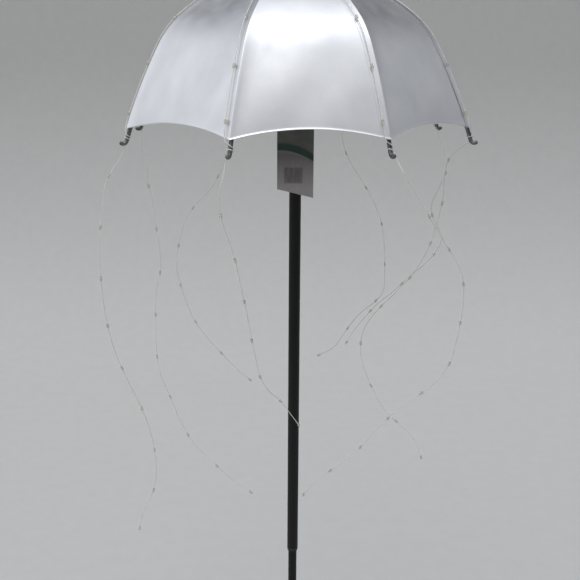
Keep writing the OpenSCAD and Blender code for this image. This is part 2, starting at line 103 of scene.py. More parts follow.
def meshPiece(name, points, faces, material, smooth=True, sharp=35.0):
    # a piece from an (n, 3) array of points and an (m, 4) array of quads
    # all its faces are turned over if their volume, the sum of a . (b x c) over their corners, is negative
    p, f = np.asarray(points, float).reshape(-1, 3), np.asarray(faces, int).reshape(-1, 4)
    a, b, c, d = (p[f[:, k]] for k in range(4))
    volume = (np.cross(b, c) * a).sum() + (np.cross(c, d) * a).sum()
    if volume < 0:
        f = f[:, ::-1]
    mesh = bpy.data.meshes.new(name)
    mesh.from_pydata(p.tolist(), [], f.tolist())
    mesh.validate(clean_customdata=False)
    mesh.polygons.foreach_set("use_smooth", np.full(len(mesh.polygons), smooth))
    if smooth and sharp:
        mesh.set_sharp_from_angle(angle=math.radians(sharp))
    mesh.materials.append(material)
    obj = bpy.data.objects.new(name, mesh)
    bpy.context.scene.collection.objects.link(obj)
    return obj


def gridFaces(rows, cols, first=0, wrapCols=False):
    # quads between neighbouring rows and columns of a grid numbered row by row: row * columns + column
    row = np.arange(rows - 1)[:, None]
    col = np.arange(cols if wrapCols else cols - 1)[None, :]
    after = (col + 1) % cols
    low, high = row * cols, (row + 1) * cols
    return np.stack([low + col, low + after, high + after, high + col], -1).reshape(-1, 4) + first


def innerSkin(outer, thick):
    # a grid moved back along its normals: point - thick * unit (along the row x along the column)
    du = np.gradient(outer, axis=1)
    dv = np.gradient(outer, axis=0)
    normal = np.cross(du, dv)
    normal /= np.linalg.norm(normal, axis=-1, keepdims=True)
    return outer - normal * thick


def shellFaces(rows, cols):
    # an outer and an inner grid, joined by quads round their border
    count = rows * cols
    outer = gridFaces(rows, cols)
    inner = gridFaces(rows, cols, count)[:, ::-1]
    idx = np.arange(count).reshape(rows, cols)
    border = np.concatenate([idx[0, :-1], idx[:-1, -1], idx[-1, :0:-1], idx[:0:-1, 0]])
    after = np.roll(border, -1)
    rim = np.stack([border, border + count, after + count, after], -1)
    return np.concatenate([outer, inner, rim])


def headings(path):
    # unit direction at each point: the next point minus the one before
    t = np.gradient(path, axis=0)
    return t / np.linalg.norm(t, axis=1, keepdims=True)


def sideways(path):
    # two directions square to the path at each of its points, carried along without twist:
    # u = the last u minus its part along the heading, and v = heading x u
    t = headings(path)
    u = np.zeros_like(t)
    last = np.cross(t[0], (0.3, 0.2, 1.0))
    for k in range(len(t)):
        last = last - (last @ t[k]) * t[k]
        last = last / np.linalg.norm(last)
        u[k] = last
    return u, np.cross(t, u)


def wayAlong(path):
    # the length of path passed at each of its points: the running sum of its chords
    return np.concatenate([[0], np.cumsum(np.linalg.norm(np.diff(path, axis=0), axis=1))])


def pointsAt(path, at):
    # points of the path at the lengths at
    return np.stack([np.interp(at, wayAlong(path), path[:, k]) for k in range(3)], -1)


def smoothPath(points, step):
    # cubic curve through the points, resampled at equal steps of its length
    # the speed at a point weighs its two chords by the roots of their lengths, so long gaps don't bulge
    p = np.asarray(points, float)
    gap = np.sqrt(np.linalg.norm(np.diff(p, axis=0), axis=1))[:, None]
    chord = np.diff(p, axis=0) / gap
    inner = (chord[1:] * gap[:-1] + chord[:-1] * gap[1:]) / (gap[1:] + gap[:-1])
    speed = np.vstack([chord[:1], inner, chord[-1:]])
    t = np.linspace(0, 1, 24, endpoint=False)[None, :, None]
    span = gap[:, None]
    curve = (2 * t**3 - 3 * t**2 + 1) * p[:-1, None] + (t**3 - 2 * t**2 + t) * span * speed[:-1, None]
    curve = curve + (3 * t**2 - 2 * t**3) * p[1:, None] + (t**3 - t**2) * span * speed[1:, None]
    curve = np.vstack([curve.reshape(-1, 3), p[-1:]])
    length = wayAlong(curve)[-1]
    return pointsAt(curve, np.linspace(0, length, max(2, int(round(length / step)) + 1)))


def tubePoints(path, radius, sides, roundEnds=True):
    # rings round a path: path + radius * (cos a * u + sin a * v)
    # round ends add rings of radius * cos q, moved on by radius * sin q
    u, v = sideways(path)
    t = headings(path)
    r = np.broadcast_to(np.asarray(radius, float), (len(path),)).copy()
    p = path.copy()
    if roundEnds:
        q = np.radians([88, 66, 44, 22])
        start = path[0] - t[0] * r[0] * np.sin(q)[:, None]
        end = path[-1] + t[-1] * r[-1] * np.sin(q[::-1])[:, None]
        p = np.vstack([start, p, end])
        r = np.concatenate([r[0] * np.cos(q), r, r[-1] * np.cos(q[::-1])])
        u, v = (np.vstack([np.repeat(w[:1], len(q), 0), w, np.repeat(w[-1:], len(q), 0)]) for w in (u, v))
    a = np.linspace(0, 2 * np.pi, sides, endpoint=False)[None, :, None]
    return p[:, None] + r[:, None, None] * (np.cos(a) * u[:, None] + np.sin(a) * v[:, None])


def closedTubeFaces(rows, cols):
    # the tube's quads, and its two ends closed by strips across the end rings, whose sides are even in number
    body = gridFaces(rows, cols, wrapCols=True)
    k = np.arange(cols // 2 - 1)
    cap = np.stack([k, k + 1, cols - 2 - k, cols - 1 - k], -1)
    return np.concatenate([body, cap[:, ::-1], cap + (rows - 1) * cols])


def newMaterial(name, colour, rough, metal=0.0, **sockets):
    m = bpy.data.materials.new(name)
    m.use_nodes = True
    shader = m.node_tree.nodes["Principled BSDF"]
    shader.inputs["Base Color"].default_value = (*colour, 1)
    shader.inputs["Roughness"].default_value = rough
    shader.inputs["Metallic"].default_value = metal
    for socket, value in sockets.items():
        shader.inputs[socket.replace("_", " ")].default_value = value
    m.diffuse_color = (*colour, 1)
    return m


def addNode(m, kind, inputs=None, **settings):
    n = m.node_tree.nodes.new(kind)
    for key, value in settings.items():
        setattr(n, key, value)
    for key, value in (inputs or {}).items():
        n.inputs[key].default_value = value
    return n


def link(m, a, b):
    m.node_tree.links.new(a, b)


def objectPlace(m, stretch=(1, 1, 1)):
    place = addNode(m, "ShaderNodeTexCoord")
    mapping = addNode(m, "ShaderNodeMapping", {"Scale": stretch})
    link(m, place.outputs["Object"], mapping.inputs["Vector"])
    return mapping.outputs["Vector"]


def objectXyz(m):
    place = addNode(m, "ShaderNodeTexCoord")
    parts = addNode(m, "ShaderNodeSeparateXYZ")
    link(m, place.outputs["Object"], parts.inputs[0])
    return parts.outputs["X"], parts.outputs["Y"], parts.outputs["Z"]


def noise(m, scale, detail=3.0, stretch=(1, 1, 1)):
    n = addNode(m, "ShaderNodeTexNoise", {"Scale": scale, "Detail": detail, "Roughness": 0.55})
    link(m, objectPlace(m, stretch), n.inputs["Vector"])
    return n.outputs["Fac"]


def mapped(m, value, low, high, outLow, outHigh):
    span = {"From Min": low, "From Max": high, "To Min": outLow, "To Max": outHigh}
    n = addNode(m, "ShaderNodeMapRange", span)
    link(m, value, n.inputs["Value"])
    return n.outputs["Result"]


def tinted(m, value, stops):
    ramp = addNode(m, "ShaderNodeValToRGB")
    while len(ramp.color_ramp.elements) < len(stops):
        ramp.color_ramp.elements.new(0.5)
    for e, (at, colour) in zip(ramp.color_ramp.elements, stops):
        e.position = at
        e.color = (*colour, 1)
    link(m, value, ramp.inputs["Fac"])
    return ramp.outputs["Color"]


def mixed(m, value, a, b):
    # colour a where value is 0 and b where it is 1
    n = addNode(m, "ShaderNodeMix", data_type="RGBA")
    for socket, colour in ((n.inputs[6], a), (n.inputs[7], b)):
        if isinstance(colour, tuple):
            socket.default_value = (*colour, 1)
        else:
            link(m, colour, socket)
    link(m, value, n.inputs[0])
    return n.outputs[2]


def maths(m, operation, a, b=0.0):
    n = addNode(m, "ShaderNodeMath", operation=operation)
    for socket, value in ((n.inputs[0], a), (n.inputs[1], b)):
        if isinstance(value, float):
            socket.default_value = value
        else:
            link(m, value, socket)
    return n.outputs[0]


def fade(m, value, start, end):
    # 0 up to start, rising to 1 at end
    return mapped(m, value, start, end, 0, 1)


def between(m, value, start, full, last, end):
    # 0 outside start and end, and 1 from full to last
    return maths(m, "MULTIPLY", fade(m, value, start, full), fade(m, value, end, last))


def shaderOf(m):
    return m.node_tree.nodes["Principled BSDF"]


def bumps(m, *layers):
    # layers of (height, strength, distance), the broadest first
    previous = None
    for height, strength, distance in layers:
        b = addNode(m, "ShaderNodeBump", {"Strength": strength, "Distance": distance})
        link(m, height, b.inputs["Height"])
        if previous:
            link(m, previous, b.inputs["Normal"])
        previous = b.outputs["Normal"]
    link(m, previous, shaderOf(m).inputs["Normal"])


def colourBy(m, colour):
    link(m, colour, shaderOf(m).inputs["Base Color"])


def roughBy(m, value):
    link(m, value, shaderOf(m).inputs["Roughness"])


def satinSheet():
    m = newMaterial("satinSheet", (0.72, 0.73, 0.76), 0.44, 1.0)
    cloud = noise(m, 14, 4)
    speck = noise(m, 900, 2)
    fine = noise(m, 2600, 2)
    rubbed = noise(m, 60, 3, (1, 1, 0.25))
    metal = tinted(m, cloud, [(0.3, (0.66, 0.67, 0.71)), (0.7, (0.78, 0.79, 0.81))])
    colourBy(m, mixed(m, mapped(m, speck, 0.62, 0.75, 0, 0.35), metal, (0.5, 0.5, 0.52)))
    roughBy(m, mapped(m, rubbed, 0.3, 0.7, 0.38, 0.48))
    bumps(m, (cloud, 0.10, 0.0008), (speck, 0.08, 0.0001), (fine, 0.12, 0.00004))
    return m


def dullRod():
    m = newMaterial("dullRod", (0.15, 0.15, 0.155), 0.42, 1.0)
    patch = noise(m, 160, 4)
    pits = noise(m, 1500, 3)
    colourBy(m, tinted(m, patch, [(0.35, (0.09, 0.09, 0.092)), (0.65, (0.27, 0.27, 0.275))]))
    roughBy(m, mapped(m, patch, 0.3, 0.7, 0.30, 0.52))
    bumps(m, (patch, 0.15, 0.0003), (pits, 0.2, 0.0001))
    return m


def polePaint():
    m = newMaterial("polePaint", (0.006, 0.006, 0.006), 0.45, 0.0, Specular_IOR_Level=0.25)
    peel = noise(m, 900, 3)
    dust = noise(m, 40, 5, (1, 1, 0.3))
    colourBy(m, tinted(m, dust, [(0.35, (0.005, 0.005, 0.005)), (0.75, (0.011, 0.011, 0.010))]))
    roughBy(m, mapped(m, dust, 0.3, 0.75, 0.4, 0.58))
    bumps(m, (peel, 0.25, 0.00008))
    return m


def spikePaint():
    # black paint, scratched lengthways, with soil that thickens down to 120 mm below the ground
    m = newMaterial("spikePaint", (0.02, 0.02, 0.02), 0.5)
    soil = noise(m, 110, 5)
    scratch = noise(m, 700, 3, (1, 1, 0.08))
    dirty = maths(m, "MULTIPLY", fade(m, objectXyz(m)[2], 0.0, -0.12), fade(m, soil, 0.45, 0.65))
    worn = mixed(m, mapped(m, scratch, 0.62, 0.7, 0, 0.6), (0.016, 0.016, 0.017), (0.25, 0.24, 0.23))
    colourBy(m, mixed(m, dirty, worn, (0.13, 0.09, 0.06)))
    roughBy(m, mapped(m, soil, 0.3, 0.7, 0.4, 0.75))
    bumps(m, (soil, 0.4, 0.0004), (scratch, 0.2, 0.0001))
    return m


def platedSteel(name, colour=(0.62, 0.62, 0.63), rough=0.3):
    m = newMaterial(name, colour, rough, 1.0)
    cloud = noise(m, 300, 3)
    fine = noise(m, 2500, 2)
    dark = tuple(0.75 * c for c in colour)
    colourBy(m, tinted(m, cloud, [(0.35, dark), (0.65, colour)]))
    roughBy(m, mapped(m, cloud, 0.3, 0.7, rough - 0.06, rough + 0.12))
    bumps(m, (fine, 0.15, 0.00005))
    return m


def mouldedPlastic(name, colour, rough, grain=1400, strength=0.25):
    m = newMaterial(name, colour, rough)
    fine = noise(m, grain, 2)
    cloud = noise(m, 45, 3)
    pale = tuple(min(1, 1.35 * c + 0.004) for c in colour)
    colourBy(m, tinted(m, cloud, [(0.35, colour), (0.7, pale)]))
    roughBy(m, mapped(m, cloud, 0.3, 0.7, rough - 0.07, rough + 0.08))
    bumps(m, (fine, strength, 0.00012))
    return m


def siliconCell():
    # dark blue crystal with fine silver fingers every 2 mm along X and a faint mottle
    m = newMaterial("siliconCell", (0.012, 0.02, 0.07), 0.25, 0.0, Coat_Weight=0.6, Coat_Roughness=0.08)
    saw = maths(m, "FRACT", maths(m, "MULTIPLY", objectXyz(m)[0], 1 / 0.002))
    finger = maths(m, "LESS_THAN", saw, 0.09)
    crystal = addNode(m, "ShaderNodeTexVoronoi", {"Scale": 160.0})
    link(m, objectPlace(m), crystal.inputs["Vector"])
    mottle = fade(m, crystal.outputs["Distance"], 0, 0.8)
    blue = mixed(m, mottle, (0.008, 0.014, 0.055), (0.02, 0.035, 0.12))
    colourBy(m, mixed(m, finger, blue, (0.45, 0.46, 0.48)))
    bumps(m, (finger, 0.2, 0.00005))
    return m


def clearSheet():
    m = newMaterial("clearSheet", (0.96, 0.98, 1.0), 0.05, 0.0, Transmission_Weight=1.0, IOR=1.49)
    smear = noise(m, 60, 4)
    roughBy(m, mapped(m, smear, 0.4, 0.7, 0.02, 0.12))
    bumps(m, (smear, 0.05, 0.0003))
    return m


def clearResin():
    m = newMaterial("clearResin", (0.97, 0.97, 0.93), 0.12, 0.0, Transmission_Weight=0.85, IOR=1.5)
    lumps = noise(m, 700, 2)
    colourBy(m, tinted(m, lumps, [(0.3, (0.92, 0.92, 0.86)), (0.7, (1.0, 1.0, 0.98))]))
    roughBy(m, mapped(m, lumps, 0.3, 0.7, 0.06, 0.2))
    bumps(m, (lumps, 0.3, 0.0002))
    return m


def strandWire():
    m = newMaterial("strandWire", (0.93, 0.92, 0.88), 0.45, 0.3)
    lacquer = noise(m, 500, 3)
    colourBy(m, tinted(m, lacquer, [(0.35, (0.86, 0.84, 0.78)), (0.65, (0.95, 0.95, 0.93))]))
    roughBy(m, mapped(m, lacquer, 0.3, 0.7, 0.32, 0.48))
    bumps(m, (lacquer, 0.2, 0.0001))
    return m


satin, rod, wire, resin = satinSheet(), dullRod(), strandWire(), clearResin()
chipLook = mouldedPlastic("paleChip", (0.80, 0.74, 0.48), 0.4, 800, 0.1)
blackPlastic = mouldedPlastic("capPlastic", (0.018, 0.018, 0.019), 0.42)
softRubber = mouldedPlastic("softRubber", (0.013, 0.013, 0.013), 0.75, 900, 0.4)
boardGreen = mouldedPlastic("boardGreen", (0.01, 0.11, 0.045), 0.35, 300, 0.15)
batterySleeve = mouldedPlastic("batterySleeve", (0.03, 0.16, 0.07), 0.3, 500, 0.1)
naturalNylon = mouldedPlastic("naturalNylon", (0.62, 0.63, 0.62), 0.35, 700, 0.1)
cadLooks = [  # finish, and the CAD nodes that have it
    (satin, ["crown_washer"]),
    (platedSteel("zincPlate"), ["crown_stud", "crown_nut", "step_screw", "door_screws", "cap_screws"]),
    (mouldedPlastic("hubNylon", (0.02, 0.02, 0.021), 0.5), ["rib_hub"]),
    (polePaint(), ["pole_upper", "pole_lower"]),
    (spikePaint(), ["ground_spike", "step_bar"]),
    (blackPlastic, ["joint_bush", "cap_base", "cap_cover", "battery_door"]),
    (softRubber, ["cap_gasket", "strand_grommets"]),
    (siliconCell(), ["solar_cell"]),
    (clearSheet(), ["cell_window"]),
    (boardGreen, ["circuit_board"]),
    (platedSteel("brightPlate", (0.72, 0.71, 0.68), 0.22), ["tact_switch", "battery_contacts"]),
    (mouldedPlastic("buttonRed", (0.42, 0.025, 0.02), 0.4), ["power_button"]),
    (batterySleeve, ["battery_cell"]),
    (platedSteel("brassTurned", (0.75, 0.55, 0.25), 0.28), ["stud_insert"]),
    (naturalNylon, ["tag_tie"]),
]
for look, names in cadLooks:
    for name in names:
        for slot in nodes[name].material_slots:
            slot.material = look
print("materials on the CAD nodes", sum(len(names) for look, names in cadLooks))


def keep(obj, body, slotName, *replaced):
    # a finished piece rides on its body and stands for the CAD nodes it replaces
    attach(obj, body)
    if replaced:
        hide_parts(*replaced)


viewpoint = {
    "place": (0.0, -0.88106, 0.86038),
    "down": 16.6227,          # degrees
    "yaw": -0.31578,
    "roll": 0.34114,
    "lens": 51.67,            # millimetres, on a 36 mm frame
}


def placeCamera(c):
    # ahead = (sin yaw * cos down, cos yaw * cos down, -sin down)
    # right and up are turned about it by roll
    down, yaw, roll = (math.radians(c[k]) for k in ("down", "yaw", "roll"))
    ahead = np.array([math.sin(yaw) * math.cos(down), math.cos(yaw) * math.cos(down), -math.sin(down)])
    right = np.array([math.cos(yaw), -math.sin(yaw), 0.0])
    up = np.cross(right, ahead)
    rolledRight = right * math.cos(roll) + up * math.sin(roll)
    rolledUp = up * math.cos(roll) - right * math.sin(roll)
    camera = bpy.data.objects.new("camera", bpy.data.cameras.new("camera"))
    camera.data.lens = c["lens"]
    camera.data.sensor_width = 36
    camera.data.clip_start = 0.02
    pose = np.column_stack([rolledRight, rolledUp, -ahead, c["place"]])
    camera.matrix_world = Matrix(np.vstack([pose, [0, 0, 0, 1]]).tolist())
    bpy.context.scene.collection.objects.link(camera)
    bpy.context.scene.camera = camera


placeCamera(viewpoint)
print("camera")

# rods under the seams, each with a straight tail and a hook below the rim
ribs = {
    "diameter": 0.004,
    "tail": 0.011,
    "hookRadius": 0.0035,
    "hookTurn": 100.0,        # degrees
    "gap": 0.0006,            # between rod and sheet
    "startSlope": 9.0,        # slope of the rib line where the rod leaves the hub
    "sides": 20,
}
rodDrop = canopy["sheet"] + ribs["diameter"] / 2 + ribs["gap"]
tailOut = slopeDir(canopy["rimSlope"])
tailDir = np.array([tailOut[1], -tailOut[0]])
tailStart = np.array([canopy["radius"], 0]) - rodDrop * tailOut
tailEnd = tailStart + ribs["tail"] * tailDir
hookCentre = tailEnd + ribs["hookRadius"] * tailOut


def buildRib(i):
    # a tube along the rib line, its straight tail, and a hook: hook centre - hook radius * (sin a, cos a)
    arc = ribLine(np.linspace(ribs["startSlope"], canopy["rimSlope"], 62), -rodDrop)
    tail = tailStart + np.linspace(0.25, 1, 4)[:, None] * ribs["tail"] * tailDir
    hookSlopes = canopy["rimSlope"] - ribs["hookTurn"] * np.linspace(0.04, 1, 25)
    hook = hookCentre - ribs["hookRadius"] * slopeDir(hookSlopes)
    line = np.vstack([arc, tail, hook])
    points = turned(np.stack([line[:, 0], 0 * line[:, 0], line[:, 1]], -1), ribAzimuth(i))
    tube = tubePoints(points, ribs["diameter"] / 2, ribs["sides"])
    obj = meshPiece(f"ribRod{i}", tube, closedTubeFaces(len(tube), ribs["sides"]), rod)
    keep(obj, "canopy", "rib_metal", f"rib_{i}")


for i in ribNumbers:
    buildRib(i)
print("ribs")

# light strings: out of the cap, down beside a seam, round the rod's tail and then free
strands = {
    "wireRadius": 0.00023,
    "twistRadius": 0.00023,   # from the string's middle to each wire's
    "pitch": 0.004,           # length of one turn of the twist
    "diameter": 0.0009,
    "beadRadius": 0.0014,
    "beadLength": 0.005,
    "beadStep": 0.050,
    "firstBead": 0.063,
    "topMargin": 0.012,       # bare length of the top part at the rim
    "freeMargin": 0.014,      # bare length of the free part at the rod
    "endMargin": 0.0005,      # last bead to the bare end
    "chipHalf": 0.0007,
    "chipRadius": 0.0006,
    "exitRadius": 0.042,
    "exitRun": ((-0.003, 0), (0.003, 0), (0.009, -0.002), (0.014, -0.007), (0.019, -0.015), (0.025, -0.024)),
    "overSlopes": (25, 29, 33, 37, 42, 48, 54, 60, 63, 66, 69),
    "lift": 0.0025,           # over the panel
    "side": 0.006,            # beside the seam
    "rimOut": 0.0019,
    "rimDown": 0.0012,
    "rimSide": 0.0046,
    "wrapRadius": 0.0028,
    "wrapStart": 0.0025,
    "wrapPitch": 0.0024,
    "wrapEase": 0.0025,
    "easeTurn": 0.3,
    "wrapFrom": -30.0,        # degrees from the outer side of the rod
    "wrapTurns": (1.78, 1.24, 1.375, 1.7, 1.7, 1.5, 1.78, 1.78),
}
crownTop = crownC[1] + math.sqrt(crownR**2 - (canopy["crownHole"] - crownC[0]) ** 2)
# gap, washer, nut's flange, nut, gap, and from the cap's floor to its glands
crownStack = (0.00015, 0.0015, 0.0006, 0.0065, 0.002, 0.006)
grommetHeight = crownTop + sum(crownStack)
hangs = [  # for each string, x, y and depth below the rim
    [
        (-0.0608, -0.1798, 0.028), (-0.064, -0.182, 0.042), (-0.063, -0.176, 0.068),
        (-0.057, -0.165, 0.092), (-0.052, -0.155, 0.116), (-0.048, -0.142, 0.145), (-0.044, -0.13, 0.172),
        (-0.041, -0.118, 0.2), (-0.037, -0.108, 0.226), (-0.033, -0.098, 0.248), (-0.025, -0.088, 0.266),
        (-0.014, -0.075, 0.282), (-0.004, -0.062, 0.302), (0.006, -0.05, 0.322),
    ],
    [
        (0.092, -0.172, 0.026), (0.102, -0.168, 0.042), (0.114, -0.158, 0.06), (0.128, -0.145, 0.082),
        (0.142, -0.13, 0.102), (0.154, -0.12, 0.12), (0.162, -0.11, 0.138), (0.166, -0.1, 0.16),
        (0.167, -0.09, 0.185), (0.165, -0.084, 0.21), (0.162, -0.078, 0.234), (0.152, -0.07, 0.258),
        (0.134, -0.061, 0.28), (0.111, -0.052, 0.304), (0.091, -0.045, 0.33), (0.07, -0.038, 0.36),
        (0.048, -0.03, 0.384), (0.028, -0.022, 0.405), (0.012, -0.016, 0.428),
    ],
    [
        (0.166, -0.05, 0.018), (0.158, -0.038, 0.028), (0.154, -0.03, 0.04), (0.154, -0.024, 0.06),
        (0.154, -0.018, 0.082), (0.151, -0.012, 0.104), (0.148, -0.004, 0.124), (0.141, 0.004, 0.146),
        (0.131, 0.012, 0.168), (0.114, 0.022, 0.192), (0.094, 0.028, 0.216), (0.08, 0.022, 0.236),
        (0.076, 0.012, 0.254), (0.078, 0.006, 0.27), (0.084, 0, 0.286), (0.092, -0.006, 0.302),
        (0.103, -0.012, 0.32), (0.121, -0.018, 0.336), (0.136, -0.025, 0.35), (0.145, -0.032, 0.37),
    ],
    [
        (0.162, 0.074, 0.02), (0.165, 0.064, 0.032), (0.17, 0.056, 0.046), (0.168, 0.052, 0.062),
        (0.161, 0.05, 0.078), (0.154, 0.049, 0.098), (0.158, 0.046, 0.114), (0.166, 0.038, 0.13),
        (0.159, 0.032, 0.146), (0.146, 0.028, 0.16), (0.131, 0.03, 0.174), (0.115, 0.034, 0.192),
        (0.098, 0.038, 0.208), (0.082, 0.042, 0.228), (0.07, 0.045, 0.246), (0.062, 0.048, 0.262),
    ],
    [
        (0.058, 0.172, 0.028), (0.061, 0.166, 0.046), (0.068, 0.163, 0.062), (0.086, 0.155, 0.09),
        (0.098, 0.148, 0.11), (0.107, 0.14, 0.132), (0.111, 0.13, 0.158), (0.112, 0.118, 0.19),
        (0.11, 0.108, 0.216), (0.098, 0.1, 0.228), (0.084, 0.094, 0.237), (0.073, 0.088, 0.247),
        (0.06, 0.078, 0.262), (0.048, 0.07, 0.276), (0.03, 0.064, 0.284),
    ],
    [
        (-0.082, 0.158, 0.03), (-0.087, 0.146, 0.06), (-0.104, 0.138, 0.094), (-0.122, 0.13, 0.112),
        (-0.133, 0.125, 0.128), (-0.14, 0.12, 0.148), (-0.145, 0.115, 0.172), (-0.146, 0.112, 0.19),
        (-0.142, 0.11, 0.207), (-0.134, 0.106, 0.232), (-0.124, 0.103, 0.254), (-0.11, 0.1, 0.274),
        (-0.09, 0.095, 0.295), (-0.072, 0.088, 0.312), (-0.054, 0.08, 0.324),
    ],
    [
        (-0.174, 0.06, 0.03), (-0.168, 0.06, 0.052), (-0.168, 0.06, 0.072), (-0.163, 0.058, 0.095),
        (-0.158, 0.051, 0.13), (-0.154, 0.045, 0.166), (-0.16, 0.04, 0.2), (-0.161, 0.036, 0.228),
        (-0.161, 0.031, 0.262), (-0.157, 0.025, 0.292), (-0.146, 0.02, 0.318), (-0.134, 0.013, 0.346),
        (-0.119, 0.005, 0.37), (-0.096, -0.005, 0.39), (-0.072, -0.015, 0.408), (-0.048, -0.025, 0.42),
    ],
    [
        (-0.168, -0.082, 0.028), (-0.175, -0.086, 0.038), (-0.181, -0.092, 0.05), (-0.184, -0.1, 0.076),
        (-0.187, -0.106, 0.105), (-0.187, -0.109, 0.135), (-0.186, -0.109, 0.162), (-0.184, -0.105, 0.19),
        (-0.179, -0.1, 0.22), (-0.17, -0.095, 0.25), (-0.161, -0.092, 0.274), (-0.152, -0.09, 0.302),
        (-0.147, -0.088, 0.33), (-0.146, -0.086, 0.36), (-0.149, -0.086, 0.38), (-0.156, -0.086, 0.397),
        (-0.163, -0.086, 0.412), (-0.167, -0.086, 0.43),
    ],
]


def wrapPoints(i):
    # turns round the rod: tail start + way down * tail + wrap radius * (cos turn outwards, sin turn sideways)
    # the way down = start + pitch * turns taken, and an eased length more where the string comes and goes
    turns = strands["wrapTurns"][i - 1]
    t = np.linspace(0, turns, math.ceil(12 * turns) + 1)
    turn = 2 * np.pi * t + math.radians(strands["wrapFrom"])
    come = 1 - np.maximum(0, 1 - t / strands["easeTurn"]) ** 2
    go = np.maximum(0, 1 - (turns - t) / strands["easeTurn"]) ** 2
    down = strands["wrapStart"] + strands["wrapPitch"] * t + strands["wrapEase"] * (come + go)
    p = tailStart + down[:, None] * tailDir + strands["wrapRadius"] * np.cos(turn)[:, None] * tailOut
    sidewards = strands["wrapRadius"] * np.sin(turn)
    return turned(np.stack([p[:, 0], sidewards, p[:, 1]], -1), ribAzimuth(i))


def strandRoute(i):
    # straight out of the cap, along the rib line beside the seam, over the rim, round the rod, then free
    run = np.array(strands["exitRun"])
    drift = mm * np.arange(len(run))
    out = bySeam(i, strands["exitRadius"] + run[:, 0], grommetHeight + run[:, 1], drift)
    over = ribLine(np.array(strands["overSlopes"]), strands["lift"])
    over = bySeam(i, over[:, 0], over[:, 1], np.full(len(over), strands["side"]))
    rimRadius = np.array([canopy["radius"] + strands["rimOut"]])
    rim = bySeam(i, rimRadius, np.array([-strands["rimDown"]]), np.array([strands["rimSide"]]))
    free = np.array(hangs[i - 1]) * (1, 1, -1) + (0, 0, canopy["rimHeight"])
    top = np.vstack([out, over, rim])
    return top, np.vstack([top, wrapPoints(i), free]), free


def beadPlaces(path, topLength, freeLength):
    # a bead at every step: down from the cap to the rim, and up from the string's end to the rod
    down = np.arange(strands["firstBead"], topLength - strands["topMargin"], strands["beadStep"])
    up = np.arange(strands["endMargin"], freeLength - strands["freeMargin"], strands["beadStep"])
    at = np.concatenate([down, wayAlong(path)[-1] - up])
    reach = 1.2 * mm
    axis = pointsAt(path, at + reach) - pointsAt(path, at - reach)
    return pointsAt(path, at), axis / np.linalg.norm(axis, axis=1, keepdims=True)


def stacked(parts):
    # several closed meshes as one: points joined, and each part's faces numbered on from the part before
    points, faces, count = [], [], 0
    for p, f in parts:
        points.append(p.reshape(-1, 3))
        faces.append(f + count)
        count += len(points[-1])
    return np.vstack(points), np.vstack(faces)


def buildStrand(i):
    # two wires, each path + twist radius * (cos a * u + sin a * v), where a grows by a turn for each pitch
    top, route, free = strandRoute(i)
    path = smoothPath(route, strands["pitch"] / 8)
    length = wayAlong(path)[-1]
    u, v = sideways(path)
    parts = []
    for half in (0, np.pi):
        a = 2 * np.pi * np.linspace(0, length, len(path)) / strands["pitch"] + half
        line = path + strands["twistRadius"] * (np.cos(a)[:, None] * u + np.sin(a)[:, None] * v)
        tube = tubePoints(line, strands["wireRadius"], 6)
        parts.append((tube, closedTubeFaces(len(tube), 6)))
    pair = meshPiece(f"twistedWire{i}", *stacked(parts), wire, sharp=None)
    keep(pair, "canopy", "wire_silver", f"strand_{i}")

    places, axes = beadPlaces(path, wayAlong(top)[-1], wayAlong(free)[-1])
    straight = strands["beadLength"] / 2 - strands["beadRadius"]
    across = np.linspace(-1, 1, 5)
    beads, chips = [], []
    for k, (p, d) in enumerate(zip(places, axes)):
        # each bead is a drop, fatter at one end or the other by a part that varies from bead to bead
        swell = strands["beadRadius"] * (0.97 - 0.05 * across * math.sin(2.4 * k + i))
        tube = tubePoints(p + across[:, None] * straight * d, swell, 12)
        beads.append((tube, closedTubeFaces(len(tube), 12)))
        ends = p + np.array([[-1], [1]]) * strands["chipHalf"] * d
        chip = tubePoints(ends, strands["chipRadius"], 4, roundEnds=False)
        chips.append((chip, closedTubeFaces(len(chip), 4)))
    beadPiece = meshPiece(f"beads{i}", *stacked(beads), resin, sharp=None)
    keep(beadPiece, "canopy", "led_resin", f"leds_{i}")
    chipPiece = meshPiece(f"chips{i}", *stacked(chips), chipLook, smooth=False)
    keep(chipPiece, "canopy", "led_resin")
    print("strand", i, "length", round(length, 4), "beads", len(places))


for i in ribNumbers:
    buildStrand(i)

# gores: flat across, with a narrow flange folded over the gore before, a rounded ridge and a rolled rim
gores = {
    "thick": 0.00045,
    "flange": 0.008,          # width of the strip that lies on the gore before
    "flangeLift": 0.00055,
    "seat": 0.0001,           # lift of the gore's own side of the seam
    "settle": (-0.0005, 0.006),  # the flange's lift goes over this stretch across the seam
    "crownFlat": (0.03, 0.045),  # and grows between these radii, clear of the washer
    "gap": 0.0006,            # to the next seam
    "ridge": 0.0008,
    "ridgeReach": 0.003,
    "hem": 0.0005,
    "hemDepth": 0.0009,
    "hemThicker": 1.1,
    "rimEdges": (0, 0.0004, 0.0008, 0.0012, 0.0018, 0.0026, 0.004),
    "wave": 0.00025,
    "waveFrom": 0.012,        # full strength at this distance from a seam
    "rows": 46,
    "columns": 34,
}
crownEndSlope = math.degrees(math.asin((canopy["crownHole"] - crownC[0]) / crownR))
slopes = np.linspace(canopy["rimSlope"], crownEndSlope, 3000)
profile = ribLine(slopes)
profileAt = wayAlong(profile)
halfRim = canopy["radius"] * math.sin(halfGore)
archR = (halfRim**2 + canopy["rimArch"] ** 2) / (2 * canopy["rimArch"])


def easeStep(x, low, high):
    # 3 t squared - 2 t cubed, where t goes from 0 at low to 1 at high
    t = np.clip((x - low) / (high - low), 0, 1)
    return t * t * (3 - 2 * t)


